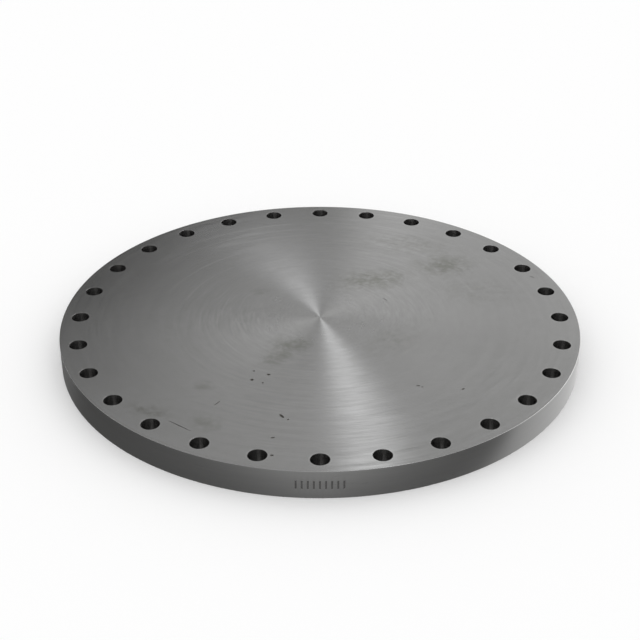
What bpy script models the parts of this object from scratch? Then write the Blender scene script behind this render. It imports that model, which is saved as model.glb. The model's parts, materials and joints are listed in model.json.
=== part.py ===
"""Blind flange: the flat round steel plate that closes the end of a large pipe or a vessel nozzle.

It is one piece of steel, as the real part is: a plate form blind flange of size DN 1000, PN 16 (EN 1092-1,
type 05). Its faces and rim are turned, and it is drilled with a circle of through holes for M39 bolts.

Units are metres. The origin is the centre of the lower face, and +Z is the plate's axis. Bolt holes lie on
the X and Y axes. A row of plain upright strokes is engraved in the rim at -Y.
"""

import math

import bmesh
import bpy
from mathutils import Matrix

# Driving dimensions of the plate.
OUTER_DIAMETER = 1.255
THICKNESS = 0.068

# Driving dimensions of the bolt holes.
BOLT_CIRCLE_DIAMETER = 1.170
BOLT_HOLE_DIAMETER = 0.042
BOLT_HOLES = 28

# Broken edges: the lathe tool's on the rim, and the countersink's on each mouth of a hole.
RIM_CHAMFER = 0.0015
HOLE_CHAMFER = 0.001

# The mark engraved in the rim.
MARK_STROKES = 9
STROKE_PITCH = 0.0125
STROKE_WIDTH = 0.004
STROKE_HEIGHT = 0.020
STROKE_DEPTH = 0.0008

# Flats around each circle. The rim has a whole number of them between one hole and the next.
RIM_SEGMENTS = 12 * BOLT_HOLES
HOLE_SEGMENTS = 24

# How far a cutter reaches past the surface that it cuts.
CUTTER_OVERRUN = 0.004

# Edges that turn by more than this are drawn sharp.
SHARP_ANGLE = math.radians(30)

STEEL_COLOUR = (0.42, 0.42, 0.425, 1.0)
STEEL_ROUGHNESS = 0.4


def clear_scene():
    for old in list(bpy.data.objects):
        bpy.data.objects.remove(old, do_unlink=True)


def machined_steel():
    material = bpy.data.materials.new("machined_steel")
    material.use_nodes = True
    shader = material.node_tree.nodes["Principled BSDF"]
    shader.inputs["Base Color"].default_value = STEEL_COLOUR
    shader.inputs["Metallic"].default_value = 1.0
    shader.inputs["Roughness"].default_value = STEEL_ROUGHNESS
    return material


def add_turned(mesh, profile, segments, placing=Matrix.Identity(4)):
    """Adds a closed solid turned about Z. The profile is (radius, z) pairs from the top of the axis to its
    bottom, with only the first and the last on the axis."""
    top = mesh.verts.new(placing @ Matrix.Translation((0, 0, profile[0][1])).translation)
    bottom = mesh.verts.new(placing @ Matrix.Translation((0, 0, profile[-1][1])).translation)
    rings = []
    for radius, z in profile[1:-1]:
        ring = []
        for step in range(segments):
            angle = 2 * math.pi * step / segments
            point = Matrix.Translation((radius * math.cos(angle), radius * math.sin(angle), z)).translation
            ring.append(mesh.verts.new(placing @ point))
        rings.append(ring)
    for step in range(segments):
        after = (step + 1) % segments
        mesh.faces.new((top, rings[0][step], rings[0][after]))
        for upper, lower in zip(rings, rings[1:]):
            mesh.faces.new((upper[step], lower[step], lower[after], upper[after]))
        mesh.faces.new((bottom, rings[-1][after], rings[-1][step]))


def add_object(name, mesh):
    """Makes an object from a bmesh, and frees the bmesh."""
    data = bpy.data.meshes.new(name)
    mesh.to_mesh(data)
    mesh.free()
    made = bpy.data.objects.new(name, data)
    bpy.context.scene.collection.objects.link(made)
    return made


def plate_blank():
    """The undrilled plate, with both rim edges broken."""
    radius = OUTER_DIAMETER / 2
    profile = [
        (0, THICKNESS),
        (radius - RIM_CHAMFER, THICKNESS),
        (radius, THICKNESS - RIM_CHAMFER),
        (radius, RIM_CHAMFER),
        (radius - RIM_CHAMFER, 0),
        (0, 0),
    ]
    mesh = bmesh.new()
    add_turned(mesh, profile, RIM_SEGMENTS)
    return add_object("flange_plate", mesh)


def bolt_hole_cutters():
    """Every hole's drill and its two countersinks, as separate solids in one cutter."""
    drill = BOLT_HOLE_DIAMETER / 2
    mouth = drill + HOLE_CHAMFER + CUTTER_OVERRUN
    profile = [
        (0, THICKNESS + CUTTER_OVERRUN),
        (mouth, THICKNESS + CUTTER_OVERRUN),
        (drill, THICKNESS - HOLE_CHAMFER),
        (drill, HOLE_CHAMFER),
        (mouth, -CUTTER_OVERRUN),
        (0, -CUTTER_OVERRUN),
    ]
    mesh = bmesh.new()
    for hole in range(BOLT_HOLES):
        turn = Matrix.Rotation(2 * math.pi * hole / BOLT_HOLES, 4, "Z")
        place = turn @ Matrix.Translation((BOLT_CIRCLE_DIAMETER / 2, 0, 0))
        add_turned(mesh, profile, HOLE_SEGMENTS, place)
    return add_object("bolt_hole_cutters", mesh)


def mark_cutters():
    """The engraved strokes: upright bars side by side along the rim, centred on -Y at mid height."""
    radius = OUTER_DIAMETER / 2
    bar_depth = STROKE_DEPTH + CUTTER_OVERRUN
    size = Matrix.Diagonal((bar_depth, STROKE_WIDTH, STROKE_HEIGHT, 1))
    bar_radius = radius - STROKE_DEPTH + bar_depth / 2
    mesh = bmesh.new()
    for stroke in range(MARK_STROKES):
        offset = (stroke - (MARK_STROKES - 1) / 2) * STROKE_PITCH / radius
        turn = Matrix.Rotation(-math.pi / 2 + offset, 4, "Z")
        place = turn @ Matrix.Translation((bar_radius, 0, THICKNESS / 2))
        bmesh.ops.create_cube(mesh, size=1, matrix=place @ size)
    return add_object("mark_cutters", mesh)


def cut(blank, cutter):
    cutter.hide_render = True
    cutter.display_type = "WIRE"
    boolean = blank.modifiers.new(cutter.name, "BOOLEAN")
    boolean.operation = "DIFFERENCE"
    boolean.solver = "EXACT"
    boolean.object = cutter


def shade_round(piece):
    """Keeps the cut shape as the piece's own mesh, so that its curved faces can be drawn smooth and its
    edges sharp."""
    view = bpy.context.evaluated_depsgraph_get()
    shape = bpy.data.meshes.new_from_object(piece.evaluated_get(view))
    for modifier in list(piece.modifiers):
        bpy.data.objects.remove(modifier.object)
        piece.modifiers.remove(modifier)
    piece.data = shape
    shape.name = piece.name
    shape.shade_smooth()
    shape.set_sharp_from_angle(angle=SHARP_ANGLE)


def flange_plate():
    plate = plate_blank()
    plate.data.materials.append(machined_steel())
    cut(plate, bolt_hole_cutters())
    cut(plate, mark_cutters())
    shade_round(plate)


clear_scene()
flange_plate()
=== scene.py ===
"""The finished look of the blind flange: a large turned and drilled steel plate, on a pale studio floor.

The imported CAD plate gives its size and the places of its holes. This script puts one finer mesh in its place,
with rounded edges, drilled holes, the engraved strokes, dents and scratches, and gives it bare steel finishes
made of nodes.
"""

import json
import math

import bmesh
import bpy
from mathutils import Matrix, Vector

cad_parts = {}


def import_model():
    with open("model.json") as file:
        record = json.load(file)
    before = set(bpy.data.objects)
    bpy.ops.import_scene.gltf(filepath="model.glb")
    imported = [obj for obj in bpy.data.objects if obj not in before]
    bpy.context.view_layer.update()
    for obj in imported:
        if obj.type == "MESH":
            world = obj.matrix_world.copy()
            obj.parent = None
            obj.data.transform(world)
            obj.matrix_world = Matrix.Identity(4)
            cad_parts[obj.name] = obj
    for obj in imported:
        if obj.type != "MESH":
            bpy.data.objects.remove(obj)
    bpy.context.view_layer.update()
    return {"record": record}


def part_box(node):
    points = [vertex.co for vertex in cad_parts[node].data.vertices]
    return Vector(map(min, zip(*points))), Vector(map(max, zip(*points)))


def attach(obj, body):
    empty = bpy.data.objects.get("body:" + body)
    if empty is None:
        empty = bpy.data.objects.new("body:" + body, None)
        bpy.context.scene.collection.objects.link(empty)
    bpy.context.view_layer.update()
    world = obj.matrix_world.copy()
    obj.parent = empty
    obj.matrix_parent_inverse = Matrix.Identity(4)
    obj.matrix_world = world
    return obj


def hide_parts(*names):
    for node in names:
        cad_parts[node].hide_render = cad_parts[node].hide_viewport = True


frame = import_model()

# ---------------------------------------------------------------- sizes

CAD_NODE = "flange_plate"
LOWEST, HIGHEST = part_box(CAD_NODE)
OPENINGS = frame["record"]["physics"]["openings"]

RADIUS = (HIGHEST.x - LOWEST.x) / 2
THICKNESS = HIGHEST.z - LOWEST.z
BOLT_HOLES = len(OPENINGS)
BOLT_CIRCLE_RADIUS = max(low[0] + high[0] for low, high in (o["box_m"] for o in OPENINGS)) / 2
HOLE_PITCH = 2 * math.pi / BOLT_HOLES

# The radius of each hole, as in the CAD plate.
HOLE_RADIUS = 0.021

# The rounding of the rim's two edges and of each hole's two mouths, and the steps in each rounding.
RIM_ROUNDING = 0.0008
MOUTH_ROUNDING = 0.0006
ROUNDING_STEPS = 4

# Flats around each circle of the fine mesh.
RIM_SEGMENTS = 24 * BOLT_HOLES
HOLE_SEGMENTS = 72

# The engraved strokes, as in the CAD plate.
STROKES = 9
STROKE_PITCH = 0.0125
STROKE_WIDTH = 0.004
STROKE_HEIGHT = 0.020
STROKE_DEPTH = 0.0008

# Dents and scratches in the upper face: x, y, length, width in metres, and turn in degrees.
DENTS = [
    (-0.154, -0.282, 0.0080, 0.0085, 0),
    (-0.117, -0.260, 0.0090, 0.0065, -20),
    (-0.151, -0.245, 0.0055, 0.0050, 0),
    (-0.129, -0.295, 0.0050, 0.0040, 0),
    (-0.083, -0.427, 0.0170, 0.0065, -55),
    (-0.069, -0.440, 0.0050, 0.0040, 0),
    (-0.100, -0.508, 0.0100, 0.0040, 15),
    (-0.100, -0.571, 0.0080, 0.0055, 0),
    (-0.226, -0.377, 0.0220, 0.0022, 55),
    (-0.301, -0.464, 0.0680, 0.0020, -37),
    (0.220, -0.307, 0.0100, 0.0040, 0),
    (0.229, -0.312, 0.0045, 0.0035, 0),
    (0.320, -0.320, 0.0090, 0.0040, 20),
    (0.546, 0.207, 0.0140, 0.0022, -35),
    (0.163, 0.088, 0.0180, 0.0014, -50),
]
DENT_DEPTH = 0.0006

# How far a cutter reaches past the surface that it cuts.
CUTTER_OVERRUN = 0.004

# Edges that turn by more than this are drawn sharp.
SHARP_ANGLE = math.radians(30)

# A face of the blank belongs to the rim if its normal's height is under this.
RIM_NORMAL_HEIGHT = 0.99


# ---------------------------------------------------------------- mesh helpers

def on_circle(radius, angle, z=0.0):
    return Vector((radius * math.cos(angle), radius * math.sin(angle), z))


def rounding(radius, z, size, start):
    """The points of a quarter circle in a turned profile. It is centred on (radius, z), starts at an angle in
    quarter turns and runs clockwise."""
    points = []
    for step in range(ROUNDING_STEPS + 1):
        angle = (start - step / ROUNDING_STEPS) * math.pi / 2
        points.append((radius + size * math.cos(angle), z + size * math.sin(angle)))
    return points


def add_turned(mesh, profile, segments, place=Matrix.Identity(4)):
    """Adds a closed solid turned about Z. The profile is (radius, z) pairs, from the top of the axis to its
    bottom."""
    top = mesh.verts.new(place @ Vector((0, 0, profile[0][1])))
    bottom = mesh.verts.new(place @ Vector((0, 0, profile[-1][1])))
    rings = []
    for radius, z in profile[1:-1]:
        angles = (2 * math.pi * step / segments for step in range(segments))
        rings.append([mesh.verts.new(place @ on_circle(radius, angle, z)) for angle in angles])
    for step in range(segments):
        after = (step + 1) % segments
        mesh.faces.new((top, rings[0][step], rings[0][after]))
        for upper, lower in zip(rings, rings[1:]):
            mesh.faces.new((upper[step], lower[step], lower[after], upper[after]))
        mesh.faces.new((bottom, rings[-1][after], rings[-1][step]))


def add_object(name, mesh, materials, slot=0):
    """Makes an object from a bmesh, with all its faces in one material slot, and frees the bmesh."""
    for face in mesh.faces:
        face.material_index = slot
    data = bpy.data.meshes.new(name)
    mesh.to_mesh(data)
    mesh.free()
    for material in materials:
        data.materials.append(material)
    made = bpy.data.objects.new(name, data)
    bpy.context.scene.collection.objects.link(made)
    return made


# ---------------------------------------------------------------- the plate's mesh

# The material slots of the plate.
FACE, RIM, BORE, DENT = 0, 1, 2, 3


def plate_blank(finishes):
    edge = RADIUS - RIM_ROUNDING
    upper_edge = rounding(edge, THICKNESS - RIM_ROUNDING, RIM_ROUNDING, 1)
    lower_edge = rounding(edge, RIM_ROUNDING, RIM_ROUNDING, 0)
    mesh = bmesh.new()
    add_turned(mesh, [(0, THICKNESS), *upper_edge, *lower_edge, (0, 0)], RIM_SEGMENTS)
    blank = add_object("flange_steel", mesh, finishes, FACE)
    for face in blank.data.polygons:
        if abs(face.normal.z) < RIM_NORMAL_HEIGHT:
            face.material_index = RIM
    return blank


def hole_cutters(finishes):
    """Drills that flare at both ends, so that each leaves a rounded mouth."""
    flare = HOLE_RADIUS + MOUTH_ROUNDING
    mouth = rounding(flare, THICKNESS - MOUTH_ROUNDING, MOUTH_ROUNDING, 2)
    upper = [(0, THICKNESS + CUTTER_OVERRUN), (flare, THICKNESS + CUTTER_OVERRUN), *reversed(mouth)]
    lower = [(radius, THICKNESS - z) for radius, z in reversed(upper)]
    mesh = bmesh.new()
    for hole in range(BOLT_HOLES):
        place = Matrix.Translation(on_circle(BOLT_CIRCLE_RADIUS, hole * HOLE_PITCH))
        add_turned(mesh, upper + lower, HOLE_SEGMENTS, place)
    return add_object("hole_cutters", mesh, finishes, BORE)


def stroke_cutters(finishes):
    depth = STROKE_DEPTH + CUTTER_OVERRUN
    size = Matrix.Diagonal((depth, STROKE_WIDTH, STROKE_HEIGHT, 1))
    mesh = bmesh.new()
    for stroke in range(STROKES):
        angle = (stroke - (STROKES - 1) / 2) * STROKE_PITCH / RADIUS - math.pi / 2
        turn = Matrix.Rotation(angle, 4, "Z")
        place = turn @ Matrix.Translation((RADIUS - STROKE_DEPTH + depth / 2, 0, THICKNESS / 2))
        bmesh.ops.create_cube(mesh, size=1, matrix=place @ size)
    return add_object("stroke_cutters", mesh, finishes, BORE)


def dent_cutters(finishes):
    mesh = bmesh.new()
    for x, y, length, width, turn in DENTS:
        place = Matrix.Translation((x, y, THICKNESS)) @ Matrix.Rotation(math.radians(turn), 4, "Z")
        size = Matrix.Diagonal((length / 2, width / 2, DENT_DEPTH, 1))
        bmesh.ops.create_icosphere(mesh, subdivisions=2, radius=1, matrix=place @ size)
    return add_object("dent_cutters", mesh, finishes, DENT)


def cut(piece, cutter):
    """Takes the cutter out of the piece, and removes the cutter."""
    boolean = piece.modifiers.new(cutter.name, "BOOLEAN")
    boolean.operation = "DIFFERENCE"
    boolean.solver = "EXACT"
    boolean.material_mode = "INDEX"
    boolean.object = cutter
    view = bpy.context.evaluated_depsgraph_get()
    shape = bpy.data.meshes.new_from_object(piece.evaluated_get(view))
    piece.modifiers.clear()
    piece.data = shape
    bpy.data.objects.remove(cutter)


def shade(piece):
    """Smooth round surfaces, and flat faces."""
    piece.data.shade_smooth()
    piece.data.set_sharp_from_angle(angle=SHARP_ANGLE)
    for face in piece.data.polygons:
        if face.material_index == FACE:
            face.use_smooth = False


# ---------------------------------------------------------------- nodes

# The sockets of a Mix node that take and give colours.
FIRST_COLOUR, SECOND_COLOUR, MIXED_COLOUR = 6, 7, 2


class Nodes:
    """A node tree, and short calls that add to it. Values are numbers or sockets."""

    def __init__(self, tree):
        self.tree = tree

    def add(self, kind, **settings):
        made = self.tree.nodes.new(kind)
        for name, value in settings.items():
            setattr(made, name, value)
        return made

    def feed(self, socket, value):
        if isinstance(value, bpy.types.NodeSocket):
            self.tree.links.new(value, socket)
        else:
            socket.default_value = value

    def math(self, operation, *values):
        made = self.add("ShaderNodeMath", operation=operation)
        for socket, value in zip(made.inputs, values):
            self.feed(socket, value)
        return made.outputs[0]

    def times(self, first, second):
        return self.math("MULTIPLY", first, second)

    def plus(self, first, second):
        return self.math("ADD", first, second)

    def total(self, start, *parts):
        """Start plus each part, where a part is a value and its share."""
        result = start
        for value, share in parts:
            result = self.plus(self.times(value, share), result)
        return result

    def rise(self, value, low, high):
        """0 at low, 1 at high, and smooth between them. Low may be the larger number."""
        made = self.add("ShaderNodeMapRange", interpolation_type="SMOOTHSTEP")
        self.feed(made.inputs["Value"], value)
        self.feed(made.inputs["From Min"], low)
        self.feed(made.inputs["From Max"], high)
        return made.outputs["Result"]

    def vector(self, x, y, z):
        made = self.add("ShaderNodeCombineXYZ")
        for socket, value in zip(made.inputs, (x, y, z)):
            self.feed(socket, value)
        return made.outputs[0]

    def split(self, vector):
        made = self.add("ShaderNodeSeparateXYZ")
        self.feed(made.inputs[0], vector)
        return made.outputs

    def dot(self, first, second):
        made = self.add("ShaderNodeVectorMath", operation="DOT_PRODUCT")
        self.feed(made.inputs[0], first)
        self.feed(made.inputs[1], second)
        return made.outputs["Value"]

    def length(self, vector):
        made = self.add("ShaderNodeVectorMath", operation="LENGTH")
        self.feed(made.inputs[0], vector)
        return made.outputs["Value"]

    def scaled(self, vector, factor):
        made = self.add("ShaderNodeVectorMath", operation="SCALE")
        self.feed(made.inputs[0], vector)
        self.feed(made.inputs["Scale"], factor)
        return made.outputs["Vector"]

    def noise(self, place, scale, detail, roughness):
        made = self.add("ShaderNodeTexNoise")
        self.feed(made.inputs["Vector"], place)
        self.feed(made.inputs["Scale"], scale)
        self.feed(made.inputs["Detail"], detail)
        self.feed(made.inputs["Roughness"], roughness)
        return made.outputs[0]

    def blend(self, amount, first, second):
        made = self.add("ShaderNodeMix", data_type="RGBA")
        self.feed(made.inputs["Factor"], amount)
        self.feed(made.inputs[FIRST_COLOUR], (*first, 1))
        self.feed(made.inputs[SECOND_COLOUR], (*second, 1))
        return made.outputs[MIXED_COLOUR]


# How much of the small detail shows in noise drawn out into arcs.
STREAK_ROUGHNESS = 0.6
# In turns: what turns a tangent along the grooves into one across them.
QUARTER_TURN = 0.25


class Finish(Nodes):
    """A metal material with its nodes, and the place of each point on the plate."""

    def __init__(self, name):
        self.material = bpy.data.materials.new(name)
        self.material.use_nodes = True
        super().__init__(self.material.node_tree)
        self.shader = self.tree.nodes["Principled BSDF"]
        self.shader.inputs["Metallic"].default_value = 1.0
        self.place = self.add("ShaderNodeTexCoord").outputs["Object"]
        self.x, self.y, self.z = self.split(self.place)
        self.radius = self.length(self.vector(self.x, self.y, 0))
        self.across = self.math("DIVIDE", self.x, self.radius)
        self.along = self.math("DIVIDE", self.y, self.radius)

    def streaks(self, round_count, radial_scale, axial_scale, detail=3.0):
        """Noise drawn out into arcs round the plate's axis: about round_count to a turn, and so many to a
        metre along the radius and along the axis."""
        spread = round_count / (2 * math.pi)
        depth = self.plus(self.times(self.radius, radial_scale), self.times(self.z, axial_scale))
        place = self.vector(self.times(self.across, spread), self.times(self.along, spread), depth)
        return self.noise(place, 1.0, detail, STREAK_ROUGHNESS)

    def grooves(self, towards):
        """Tool marks too fine to draw, which run along a direction and spread reflections across it."""
        self.feed(self.shader.inputs["Tangent"], towards)
        self.shader.inputs["Anisotropic"].default_value = GROOVE_ANISOTROPY
        self.shader.inputs["Anisotropic Rotation"].default_value = QUARTER_TURN

    def round_plate(self):
        return self.add("ShaderNodeTangent", direction_type="RADIAL", axis="Z").outputs[0]

    def surface(self, colour, roughness, height):
        """Height is in metres."""
        self.feed(self.shader.inputs["Base Color"], colour)
        self.feed(self.shader.inputs["Roughness"], roughness)
        bump = self.add("ShaderNodeBump")
        bump.inputs["Distance"].default_value = 1.0
        self.feed(bump.inputs["Height"], height)
        self.feed(self.shader.inputs["Normal"], bump.outputs[0])
        return self.material


# ---------------------------------------------------------------- finishes

BARE_STEEL = (0.500, 0.499, 0.494)
STAINED_STEEL = (0.330, 0.333, 0.306)
DRILLED_STEEL = (0.27, 0.266, 0.262)
DENT_GREY = (0.10, 0.095, 0.085)
GROOVE_ANISOTROPY = 0.90
# Shininess is a roughness squared. The lathe cuts faster further out, so the faces are smoother there.
INNER_SHININESS = 0.070
OUTER_SHININESS = 0.0255
RIM_ROUGHNESS = 0.263
DRILLED_ROUGHNESS = 0.20
DENT_ROUGHNESS = 0.5
# How deep each finish's marks are, in metres.
FACE_RING_DEPTH = 0.000040
RIM_LINE_DEPTH = 0.000003
DRILL_RING_DEPTH = 0.000004
DENT_GRAIN_DEPTH = 0.0001
# The marks close up towards the middle of the plate, and are drawn in full from this radius out.
MARKS_START, MARKS_FULL = 0.02, 0.12
# The bright ring round each hole's mouth, partly wear and partly a painted highlight where the mouth catches
# light: how far past the hole it is still at full strength, and how far past it the ring ends.
WEAR_HIGHLIGHT_FULL, WEAR_HIGHLIGHT_END = 0.001, 0.005

# Stains on the upper face: x, y, half length and half width in metres, turn in degrees and strength. Each is
# a soft patch that the mottling shows through.
STAINS = [
    (0.138, 0.193, 0.115, 0.060, 10, 1.0),
    (0.323, 0.270, 0.085, 0.070, 15, 1.0),
    (0.240, 0.390, 0.140, 0.060, -10, 0.45),
    (0.400, 0.130, 0.110, 0.080, -20, 0.30),
    (-0.069, -0.129, 0.060, 0.045, 10, 1.0),
    (-0.094, -0.182, 0.065, 0.032, 50, 0.8),
    (-0.148, 0.132, 0.030, 0.018, 20, 0.6),
    (-0.257, -0.307, 0.030, 0.026, 0, 0.7),
    (-0.373, -0.408, 0.055, 0.026, -20, 0.9),
    (-0.245, -0.455, 0.045, 0.035, -30, 0.6),
    (0.170, -0.110, 0.100, 0.060, 40, 0.35),
]

# Polished arcs on the upper face, drawn as painted sheen: lighter colour in place of their shine. Radius,
# middle and half width in degrees, breadth in metres and strength.
SHEEN_ARCS = [
    (0.520, 112, 26, 0.0045, 1.0),
    (0.485, 118, 30, 0.0040, 0.8),
    (0.450, 106, 22, 0.0050, 0.7),
    (0.400, 136, 30, 0.0045, 0.6),
    (0.345, 150, 28, 0.0040, 0.5),
    (0.250, 200, 34, 0.0030, 0.4),
]


# Where a stain ends and where it is at full strength, as parts of its half length and half width.
STAIN_EDGE, STAIN_FULL = 1.3, 0.1


def stain_patches(finish, place):
    """How stained a place on the upper face is, from 0 to 1."""
    total = 0.0
    for x, y, half_length, half_width, turn, strength in STAINS:
        patch = finish.add("ShaderNodeMapping", vector_type="TEXTURE")
        finish.feed(patch.inputs["Vector"], place)
        patch.inputs["Location"].default_value = (x, y, 0)
        patch.inputs["Rotation"].default_value = (0, 0, math.radians(turn))
        patch.inputs["Scale"].default_value = (half_length, half_width, 1)
        inside = finish.rise(finish.length(patch.outputs[0]), STAIN_EDGE, STAIN_FULL)
        total = finish.math("MAXIMUM", total, finish.times(inside, strength))
    return total


def polished_arcs_as_sheen(finish, side):
    """How polished a place is, as a mask for painted sheen: the arcs lighten the colour in place of their
    shine. Side is 1 on the upper face, and -1 on the lower one.
    """
    total = 0.0
    for radius, middle, half_width, breadth, strength in SHEEN_ARCS:
        off = finish.math("ABSOLUTE", finish.math("SUBTRACT", finish.radius, radius))
        middle = math.radians(middle)
        turned = finish.plus(finish.times(finish.across, math.cos(middle)),
                             finish.times(finish.along, math.sin(middle)))
        within = finish.rise(finish.times(turned, side), math.cos(math.radians(half_width)), 1.0)
        arc = finish.times(finish.rise(off, breadth, 0.0), within)
        total = finish.plus(total, finish.times(arc, strength))
    return total


def from_nearest_hole(finish):
    """How far a point is from the middle of the nearest bolt hole, along X and along Y."""
    angle = finish.math("ARCTAN2", finish.y, finish.x)
    nearest = finish.times(finish.math("ROUND", finish.math("DIVIDE", angle, HOLE_PITCH)), HOLE_PITCH)
    hole_x = finish.times(finish.math("COSINE", nearest), BOLT_CIRCLE_RADIUS)
    hole_y = finish.times(finish.math("SINE", nearest), BOLT_CIRCLE_RADIUS)
    across = finish.math("SUBTRACT", finish.x, hole_x)
    along = finish.math("SUBTRACT", finish.y, hole_y)
    return across, along


def faced_steel():
    finish = Finish("faced_steel")
    finish.grooves(finish.round_plate())

    # The lower face has the same stains as the upper one, half a turn round.
    side = finish.math("SIGN", finish.math("SUBTRACT", finish.z, THICKNESS / 2))
    place = finish.vector(finish.times(finish.x, side), finish.times(finish.y, side), 0)

    fine = finish.streaks(round_count=26, radial_scale=160, axial_scale=40, detail=4)
    broad = finish.streaks(round_count=9, radial_scale=60, axial_scale=40)
    blotches = finish.noise(finish.place, scale=50, detail=12, roughness=0.80)
    haze = finish.noise(finish.place, scale=5, detail=3, roughness=0.5)

    patches = stain_patches(finish, place)
    mottled = finish.rise(finish.total(blotches, (patches, 0.06)), 0.40, 0.64)
    stained = finish.times(mottled, finish.total(0.15, (patches, 0.85)))
    # Painted sheen: the polished arcs are drawn as lighter colour, not as shine.
    sheen_arcs = finish.times(polished_arcs_as_sheen(finish, side), finish.rise(fine, 0.3, 0.7))
    hole_distance = finish.length(finish.vector(*from_nearest_hole(finish), 0))
    # Partly wear and partly painted highlight: a lighter ring round each hole's mouth.
    wear_and_highlight_ring = finish.rise(hole_distance, HOLE_RADIUS + WEAR_HIGHLIGHT_END, HOLE_RADIUS + WEAR_HIGHLIGHT_FULL)

    # The tone holds the painted sheen of the arcs and the partly painted highlight round the hole mouths, with
    # the steel's own streaks and mottling.
    tone = finish.total(
        0.76, (fine, 0.24), (broad, 0.10), (haze, 0.08), (blotches, 0.08), (sheen_arcs, 0.28), (wear_and_highlight_ring, 0.08))
    colour = finish.scaled(finish.blend(stained, BARE_STEEL, STAINED_STEEL), tone)

    outward = finish.times(finish.radius, (OUTER_SHININESS - INNER_SHININESS) / RADIUS)
    roughness = finish.math("SQRT", finish.plus(outward, INNER_SHININESS))
    drawn = finish.rise(finish.radius, MARKS_START, MARKS_FULL)
    uneven = finish.times(finish.math("SUBTRACT", 0.5, fine), drawn)
    roughness = finish.total(roughness, (uneven, 0.17))
    rings = finish.streaks(round_count=3, radial_scale=120, axial_scale=40)
    height = finish.times(finish.times(rings, drawn), FACE_RING_DEPTH)
    return finish.surface(colour, roughness, height)


def turned_rim_steel():
    finish = Finish("turned_rim_steel")
    finish.grooves(finish.round_plate())
    lines = finish.streaks(round_count=40, radial_scale=0, axial_scale=450)
    broad = finish.streaks(round_count=14, radial_scale=0, axial_scale=60)
    colour = finish.scaled(BARE_STEEL, finish.total(0.90, (lines, 0.10), (broad, 0.10)))
    roughness = finish.total(RIM_ROUGHNESS, (lines, 0.04))
    height = finish.times(lines, RIM_LINE_DEPTH)
    return finish.surface(colour, roughness, height)


def drilled_steel():
    """Steel with the drill's rings, which run round each hole's own axis."""
    finish = Finish("drilled_steel")
    across, along = from_nearest_hole(finish)
    finish.grooves(finish.vector(finish.times(along, -1), across, 0))
    wide = 30
    deep = 500
    place = finish.vector(
        finish.times(finish.x, wide), finish.times(finish.y, wide), finish.times(finish.z, deep))
    rings = finish.noise(place, scale=1.0, detail=3, roughness=0.6)
    smears = finish.noise(finish.place, scale=90, detail=4, roughness=0.6)
    colour = finish.scaled(DRILLED_STEEL, finish.total(0.70, (rings, 0.30), (smears, 0.30)))
    roughness = finish.total(DRILLED_ROUGHNESS, (smears, 0.08))
    height = finish.times(rings, DRILL_RING_DEPTH)
    return finish.surface(colour, roughness, height)


def dented_steel():
    finish = Finish("dented_steel")
    grain = finish.noise(finish.place, scale=900, detail=4, roughness=0.6)
    colour = finish.scaled(DENT_GREY, finish.total(0.6, (grain, 0.8)))
    roughness = finish.total(DENT_ROUGHNESS, (grain, 0.2))
    return finish.surface(colour, roughness, finish.times(grain, DENT_GRAIN_DEPTH))


# ---------------------------------------------------------------- the studio

# The camera is this far from the middle of the upper face, at this elevation from it, and looks down at this
# pitch.
VIEW_DISTANCE = 3.2564
VIEW_ELEVATION = math.radians(30.096)
VIEW_PITCH = math.radians(30.218)
LENS_MM, SENSOR_MM = 75.0, 36.0
FARTHEST_SEEN = 200


def direction(azimuth, elevation):
    """A direction: azimuth 0 is +Y, away from the camera, and 90 is +X, to its right. In degrees."""
    azimuth, elevation = math.radians(azimuth), math.radians(elevation)
    flat = math.cos(elevation)
    return Vector((flat * math.sin(azimuth), flat * math.cos(azimuth), math.sin(elevation)))


def camera():
    data = bpy.data.cameras.new("camera")
    data.sensor_width = SENSOR_MM
    data.lens = LENS_MM
    data.clip_end = FARTHEST_SEEN
    made = bpy.data.objects.new("camera", data)
    back = VIEW_DISTANCE * math.cos(VIEW_ELEVATION)
    up = VIEW_DISTANCE * math.sin(VIEW_ELEVATION)
    made.location = (0, -back, HIGHEST.z + up)
    made.rotation_euler = (math.pi / 2 - VIEW_PITCH, 0, 0)
    bpy.context.scene.collection.objects.link(made)
    bpy.context.scene.camera = made


def softbox(name, azimuth, elevation, distance, width, height, radiance, colour):
    """A rectangular light that faces the plate. It lights only what shines, and its power follows from its
    radiance."""
    data = bpy.data.lights.new(name, "AREA")
    data.shape = "RECTANGLE"
    data.size = width
    data.size_y = height
    data.energy = radiance * math.pi * width * height
    data.color = colour
    made = bpy.data.objects.new(name, data)
    towards = direction(azimuth, elevation)
    made.location = towards * distance + Vector((0, 0, THICKNESS))
    made.rotation_euler = towards.to_track_quat("Z", "Y").to_euler()
    made.visible_diffuse = False
    made.visible_camera = False
    bpy.context.scene.collection.objects.link(made)


# The room that the steel reflects is dark, with a low light below the horizon. The light fades out across the
# horizon, from this sine of an elevation below it to the same above it.
LOW_LIGHT = 0.070
HORIZON_BLUR = 0.09
# Soft glows in the room: azimuth, elevation, half width in degrees, and strength.
GLOWS = [
    (-1.3, 28, 3.3, 9.6),
    (48, 31, 25.5, 2.65),
    (-54, -3, 7.5, 1.5),
    (-26, 44, 14, 1.25),
    (180, -30, 14, 0.10),
    (180, 20, 30, 0.50),
    (180, 50, 40, 0.40),
]
# Dark screens in front of the glows and the low light: azimuth, elevation, half width.
DARK_SCREENS = [
    (-1, 20, 22.0),
    (-5, 24, 4.0),
]
# The bright wall to the right of the plate spans these azimuths, up to this elevation. It is brightest at
# azimuth 0, and fades by this part for each degree.
WALL_START, WALL_END, WALL_TOP = 2, 95, 27
WALL_LIGHT = 0.82
WALL_FADE = 0.0065
# Its sides and top fade out over this many degrees on either side.
WALL_SIDE_BLUR = 2
WALL_TOP_BLUR = 8


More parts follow.
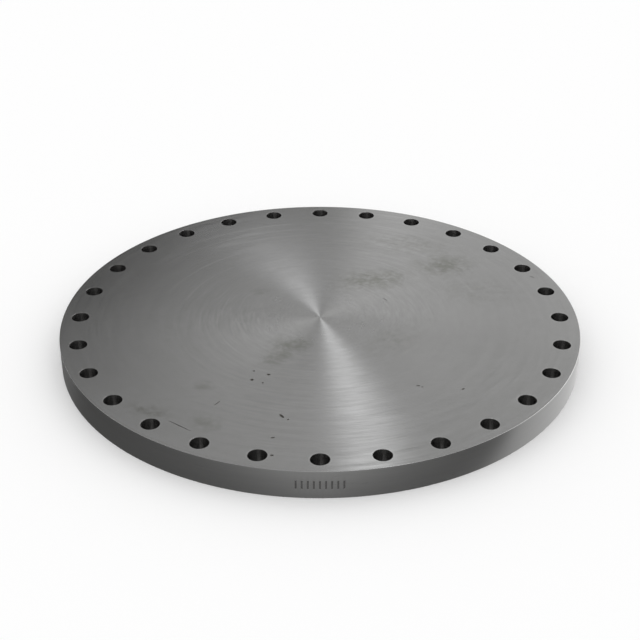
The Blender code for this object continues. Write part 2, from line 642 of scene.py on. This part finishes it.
def glow(nodes, towards, azimuth, elevation, half_width):
    """1 in the middle of a round glow, and a half at its half width."""
    sharpness = math.log(2) / (1 - math.cos(math.radians(half_width)))
    near = nodes.dot(towards, direction(azimuth, elevation))
    return nodes.math("EXPONENT", nodes.times(nodes.math("SUBTRACT", near, 1), sharpness))


def glows(nodes, towards):
    total = 0.0
    for azimuth, elevation, half_width, strength in GLOWS:
        total = nodes.plus(total, nodes.times(glow(nodes, towards, azimuth, elevation, half_width), strength))
    return total


def bright_wall(nodes, towards):
    x, y, z = nodes.split(towards)
    azimuth = nodes.math("DEGREES", nodes.math("ARCTAN2", x, y))
    elevation = nodes.math("DEGREES", nodes.math("ARCSINE", z))
    wide = nodes.times(nodes.rise(azimuth, WALL_START - WALL_SIDE_BLUR, WALL_START + WALL_SIDE_BLUR),
                       nodes.rise(azimuth, WALL_END + WALL_SIDE_BLUR, WALL_END - WALL_SIDE_BLUR))
    high = nodes.rise(elevation, WALL_TOP + WALL_TOP_BLUR, WALL_TOP - WALL_TOP_BLUR)
    fade = nodes.math("SUBTRACT", 1, nodes.times(azimuth, WALL_FADE))
    return nodes.times(nodes.times(wide, fade), high)


WHITE = (1, 1, 1, 1)


def world():
    """White to the camera and to the floor, and the room to anything that shines."""
    made = bpy.data.worlds.new("studio")
    bpy.context.scene.world = made
    made.use_nodes = True
    made.node_tree.nodes.clear()
    nodes = Nodes(made.node_tree)
    towards = nodes.add("ShaderNodeTexCoord").outputs["Generated"]
    z = nodes.split(towards)[2]
    below = nodes.rise(z, HORIZON_BLUR, -HORIZON_BLUR)
    light = nodes.total(glows(nodes, towards), (below, LOW_LIGHT))
    for screen in DARK_SCREENS:
        light = nodes.times(light, nodes.math("SUBTRACT", 1, glow(nodes, towards, *screen)))
    light = nodes.total(light, (bright_wall(nodes, towards), WALL_LIGHT))
    white = nodes.add("ShaderNodeBackground")
    white.inputs["Color"].default_value = WHITE
    room = nodes.add("ShaderNodeBackground")
    room.inputs["Color"].default_value = WHITE
    nodes.feed(room.inputs["Strength"], light)
    mix = nodes.add("ShaderNodeMixShader")
    shines = nodes.add("ShaderNodeLightPath").outputs["Is Glossy Ray"]
    for socket, value in zip(mix.inputs, (shines, white.outputs[0], room.outputs[0])):
        nodes.feed(socket, value)
    nodes.feed(nodes.add("ShaderNodeOutputWorld").inputs["Surface"], mix.outputs[0])


FLOOR_COLOUR = (0.99, 0.99, 0.99, 1)
FLOOR_HALF_SIZE = 60
# How far under the plate the floor is, so that the two don't touch.
FLOOR_GAP = 0.0002


def floor():
    """A pale floor that casts no shadow, and that the steel doesn't reflect."""
    material = bpy.data.materials.new("floor")
    material.use_nodes = True
    shader = material.node_tree.nodes["Principled BSDF"]
    shader.inputs["Base Color"].default_value = FLOOR_COLOUR
    shader.inputs["Roughness"].default_value = 1.0
    shader.inputs["Specular IOR Level"].default_value = 0.0
    mesh = bmesh.new()
    bmesh.ops.create_grid(mesh, x_segments=1, y_segments=1, size=FLOOR_HALF_SIZE)
    made = add_object("floor", mesh, [material])
    made.location.z = LOWEST.z - FLOOR_GAP
    made.visible_glossy = False
    made.visible_shadow = False


# ---------------------------------------------------------------- making it

finishes = [faced_steel(), turned_rim_steel(), drilled_steel(), dented_steel()]
plate = plate_blank(finishes)
for make_cutter in (hole_cutters, stroke_cutters, dent_cutters):
    cut(plate, make_cutter(finishes))
plate.data.name = "flange_steel"
shade(plate)
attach(plate, "root")
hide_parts(CAD_NODE)

camera()
world()
floor()
softbox("key", azimuth=10.5, elevation=57.5, distance=8.0, width=0.9, height=0.9, radiance=17.5,
        colour=(0.97, 0.98, 1))

settings = bpy.context.scene.view_settings
settings.view_transform = "Standard"
settings.look = "None"
